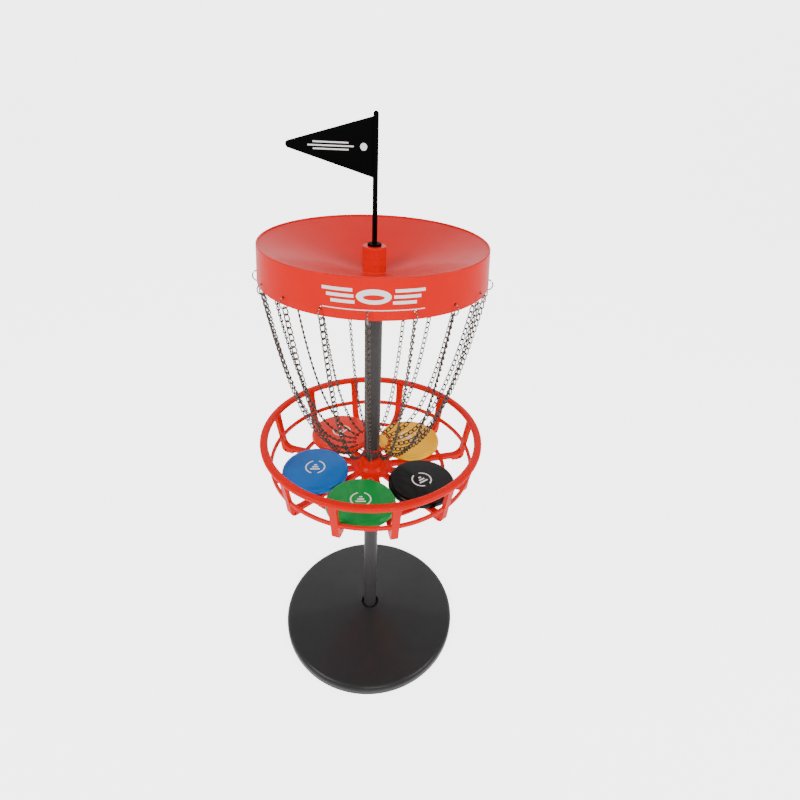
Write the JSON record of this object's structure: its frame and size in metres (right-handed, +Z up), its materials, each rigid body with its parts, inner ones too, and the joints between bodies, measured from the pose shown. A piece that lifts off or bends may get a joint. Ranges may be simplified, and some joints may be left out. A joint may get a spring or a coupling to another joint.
{
  "type": "disc golf basket",
  "caption": "Free-standing miniature disc golf basket: weighted round base, pole, open spoked basket, funnel header with hanging catch chains, pennant and playing discs.",
  "frame": {"origin": "on the floor, on the pole's axis", "axes": "+Z up along the pole, -Y the front, the pennant points to -X"},
  "size_m": [0.35, 0.35, 0.916],
  "materials": {
    "base_plastic": "satin charcoal moulding",
    "under_plastic": "plain black moulding",
    "ballast_iron": "rough casting",
    "zinc": "zinc plated",
    "pole_paint": "satin dark grey powder coat",
    "tube_steel": "bare drawn tube",
    "ring_steel": "bright nickel plated wire",
    "chain_steel": "nickel plated twisted links",
    "coated_ring": "red coated wire",
    "flag_plastic": "black moulding",
    "basket_plastic": "red gloss moulding",
    "header_plastic": "red gloss moulding",
    "green_disc_plastic": "green moulding",
    "black_disc_plastic": "black moulding",
    "yellow_disc_plastic": "yellow moulding",
    "orange_disc_plastic": "orange-red moulding",
    "blue_disc_plastic": "blue moulding"
  },
  "bodies": {
    "stand": {"base_shell": "base_plastic", "base_plate": "under_plastic", "base_ballast": "ballast_iron", "base_screws": "zinc", "pole_bolt": "zinc", "pole_foot_nut": "zinc", "lower_pole": "pole_paint", "pole_ferrule": "tube_steel", "upper_pole": "pole_paint", "basket_hub": "basket_plastic", "basket_spokes": "basket_plastic", "basket_floor_ring": "basket_plastic", "basket_ribs": "basket_plastic", "basket_mid_ring": "basket_plastic", "basket_top_ring": "basket_plastic", "header_wall": "header_plastic", "header_funnel": "header_plastic", "jump_rings": "ring_steel"},
    "chain_ring": {"chain_ring": "coated_ring"},
    "chain_01": {"chain_01": "chain_steel"},
    "chain_02": {"chain_02": "chain_steel"},
    "chain_03": {"chain_03": "chain_steel"},
    "chain_04": {"chain_04": "chain_steel"},
    "chain_05": {"chain_05": "chain_steel"},
    "chain_06": {"chain_06": "chain_steel"},
    "chain_07": {"chain_07": "chain_steel"},
    "chain_08": {"chain_08": "chain_steel"},
    "chain_09": {"chain_09": "chain_steel"},
    "chain_10": {"chain_10": "chain_steel"},
    "chain_11": {"chain_11": "chain_steel"},
    "chain_12": {"chain_12": "chain_steel"},
    "chain_13": {"chain_13": "chain_steel"},
    "chain_14": {"chain_14": "chain_steel"},
    "chain_15": {"chain_15": "chain_steel"},
    "chain_16": {"chain_16": "chain_steel"},
    "chain_17": {"chain_17": "chain_steel"},
    "chain_18": {"chain_18": "chain_steel"},
    "flag_collar": {"flag_collar": "flag_plastic"},
    "flag": {"flag": "flag_plastic"},
    "disc_green": {"disc_green": "green_disc_plastic"},
    "disc_black": {"disc_black": "black_disc_plastic"},
    "disc_yellow": {"disc_yellow": "yellow_disc_plastic"},
    "disc_orange": {"disc_orange": "orange_disc_plastic"},
    "disc_blue": {"disc_blue": "blue_disc_plastic"}
  },
  "joints": [
    {"name": "chain_ring_twist", "type": "hinge", "parent": "stand", "child": "chain_ring", "pos_m": [0, 0, 0.453], "axis": [0, 0, 1], "range_deg": [-12, 12]},
    {"name": "chain_01_swing", "type": "hinge", "parent": "stand", "child": "chain_01", "pos_m": [-0.00624, -0.14887, 0.72275], "axis": [-0.0419, -0.9991, 0], "range_deg": [-1.4, 1.4]},
    {"name": "chain_02_swing", "type": "hinge", "parent": "stand", "child": "chain_02", "pos_m": [0.04505, -0.14203, 0.72275], "axis": [0.3024, -0.9532, 0], "range_deg": [-1.4, 1.4]},
    {"name": "chain_03_swing", "type": "hinge", "parent": "stand", "child": "chain_03", "pos_m": [0.09091, -0.11805, 0.72275], "axis": [0.6101, -0.7923, 0], "range_deg": [-1.4, 1.4]},
    {"name": "chain_04_swing", "type": "hinge", "parent": "stand", "child": "chain_04", "pos_m": [0.12581, -0.07984, 0.72275], "axis": [0.8443, -0.5358, 0], "range_deg": [-1.4, 1.4]},
    {"name": "chain_05_swing", "type": "hinge", "parent": "stand", "child": "chain_05", "pos_m": [0.14552, -0.032, 0.72275], "axis": [0.9767, -0.2147, 0], "range_deg": [-1.4, 1.4]},
    {"name": "chain_06_swing", "type": "hinge", "parent": "stand", "child": "chain_06", "pos_m": [0.14769, 0.01971, 0.72275], "axis": [0.9912, 0.1323, 0], "range_deg": [-1.4, 1.4]},
    {"name": "chain_07_swing", "type": "hinge", "parent": "stand", "child": "chain_07", "pos_m": [0.13204, 0.06903, 0.72275], "axis": [0.8862, 0.4633, 0], "range_deg": [-1.4, 1.4]},
    {"name": "chain_08_swing", "type": "hinge", "parent": "stand", "child": "chain_08", "pos_m": [0.10047, 0.11003, 0.72275], "axis": [0.6743, 0.7385, 0], "range_deg": [-1.4, 1.4]},
    {"name": "chain_09_swing", "type": "hinge", "parent": "stand", "child": "chain_09", "pos_m": [0.05678, 0.13776, 0.72275], "axis": [0.3811, 0.9245, 0], "range_deg": [-1.4, 1.4]},
    {"name": "chain_10_swing", "type": "hinge", "parent": "stand", "child": "chain_10", "pos_m": [0.00624, 0.14887, 0.72275], "axis": [0.0419, 0.9991, 0], "range_deg": [-1.4, 1.4]},
    {"name": "chain_11_swing", "type": "hinge", "parent": "stand", "child": "chain_11", "pos_m": [-0.04505, 0.14203, 0.72275], "axis": [-0.3024, 0.9532, 0], "range_deg": [-1.4, 1.4]},
    {"name": "chain_12_swing", "type": "hinge", "parent": "stand", "child": "chain_12", "pos_m": [-0.09091, 0.11805, 0.72275], "axis": [-0.6101, 0.7923, 0], "range_deg": [-1.4, 1.4]},
    {"name": "chain_13_swing", "type": "hinge", "parent": "stand", "child": "chain_13", "pos_m": [-0.12581, 0.07984, 0.72275], "axis": [-0.8443, 0.5358, 0], "range_deg": [-1.4, 1.4]},
    {"name": "chain_14_swing", "type": "hinge", "parent": "stand", "child": "chain_14", "pos_m": [-0.14552, 0.032, 0.72275], "axis": [-0.9767, 0.2147, 0], "range_deg": [-1.4, 1.4]},
    {"name": "chain_15_swing", "type": "hinge", "parent": "stand", "child": "chain_15", "pos_m": [-0.14769, -0.01971, 0.72275], "axis": [-0.9912, -0.1323, 0], "range_deg": [-1.4, 1.4]},
    {"name": "chain_16_swing", "type": "hinge", "parent": "stand", "child": "chain_16", "pos_m": [-0.13204, -0.06903, 0.72275], "axis": [-0.8862, -0.4633, 0], "range_deg": [-1.4, 1.4]},
    {"name": "chain_17_swing", "type": "hinge", "parent": "stand", "child": "chain_17", "pos_m": [-0.10047, -0.11003, 0.72275], "axis": [-0.6743, -0.7385, 0], "range_deg": [-1.4, 1.4]},
    {"name": "chain_18_swing", "type": "hinge", "parent": "stand", "child": "chain_18", "pos_m": [-0.05678, -0.13776, 0.72275], "axis": [-0.3811, -0.9245, 0], "range_deg": [-1.4, 1.4]},
    {"name": "flag_lift", "type": "slide", "parent": "stand", "child": "flag_collar", "axis": [0, 0, 1], "range_m": [0, 0.014]},
    {"name": "flag_turn", "type": "hinge", "parent": "flag_collar", "child": "flag", "pos_m": [0, 0, 0.76], "axis": [0, 0, 1], "continuous": true},
    {"name": "disc_green_lift", "type": "slide", "parent": "stand", "child": "disc_green", "axis": [0, 0, 1], "range_m": [0, 0.02]},
    {"name": "disc_black_lift", "type": "slide", "parent": "stand", "child": "disc_black", "axis": [0, 0, 1], "range_m": [0, 0.02]},
    {"name": "disc_yellow_lift", "type": "slide", "parent": "stand", "child": "disc_yellow", "axis": [0, 0, 1], "range_m": [0, 0.02]},
    {"name": "disc_orange_lift", "type": "slide", "parent": "stand", "child": "disc_orange", "axis": [0, 0, 1], "range_m": [0, 0.02]},
    {"name": "disc_blue_lift", "type": "slide", "parent": "stand", "child": "disc_blue", "axis": [0, 0, 1], "range_m": [0, 0.02]}
  ],
  "couplings": [
    {"joint": "chain_01_swing", "follows": "chain_ring_twist", "ratio": 0.10973},
    {"joint": "chain_02_swing", "follows": "chain_ring_twist", "ratio": 0.10973},
    {"joint": "chain_03_swing", "follows": "chain_ring_twist", "ratio": 0.10973},
    {"joint": "chain_04_swing", "follows": "chain_ring_twist", "ratio": 0.10973},
    {"joint": "chain_05_swing", "follows": "chain_ring_twist", "ratio": 0.10973},
    {"joint": "chain_06_swing", "follows": "chain_ring_twist", "ratio": 0.10973},
    {"joint": "chain_07_swing", "follows": "chain_ring_twist", "ratio": 0.10973},
    {"joint": "chain_08_swing", "follows": "chain_ring_twist", "ratio": 0.10973},
    {"joint": "chain_09_swing", "follows": "chain_ring_twist", "ratio": 0.10973},
    {"joint": "chain_10_swing", "follows": "chain_ring_twist", "ratio": 0.10973},
    {"joint": "chain_11_swing", "follows": "chain_ring_twist", "ratio": 0.10973},
    {"joint": "chain_12_swing", "follows": "chain_ring_twist", "ratio": 0.10973},
    {"joint": "chain_13_swing", "follows": "chain_ring_twist", "ratio": 0.10973},
    {"joint": "chain_14_swing", "follows": "chain_ring_twist", "ratio": 0.10973},
    {"joint": "chain_15_swing", "follows": "chain_ring_twist", "ratio": 0.10973},
    {"joint": "chain_16_swing", "follows": "chain_ring_twist", "ratio": 0.10973},
    {"joint": "chain_17_swing", "follows": "chain_ring_twist", "ratio": 0.10973},
    {"joint": "chain_18_swing", "follows": "chain_ring_twist", "ratio": 0.10973}
  ]
}
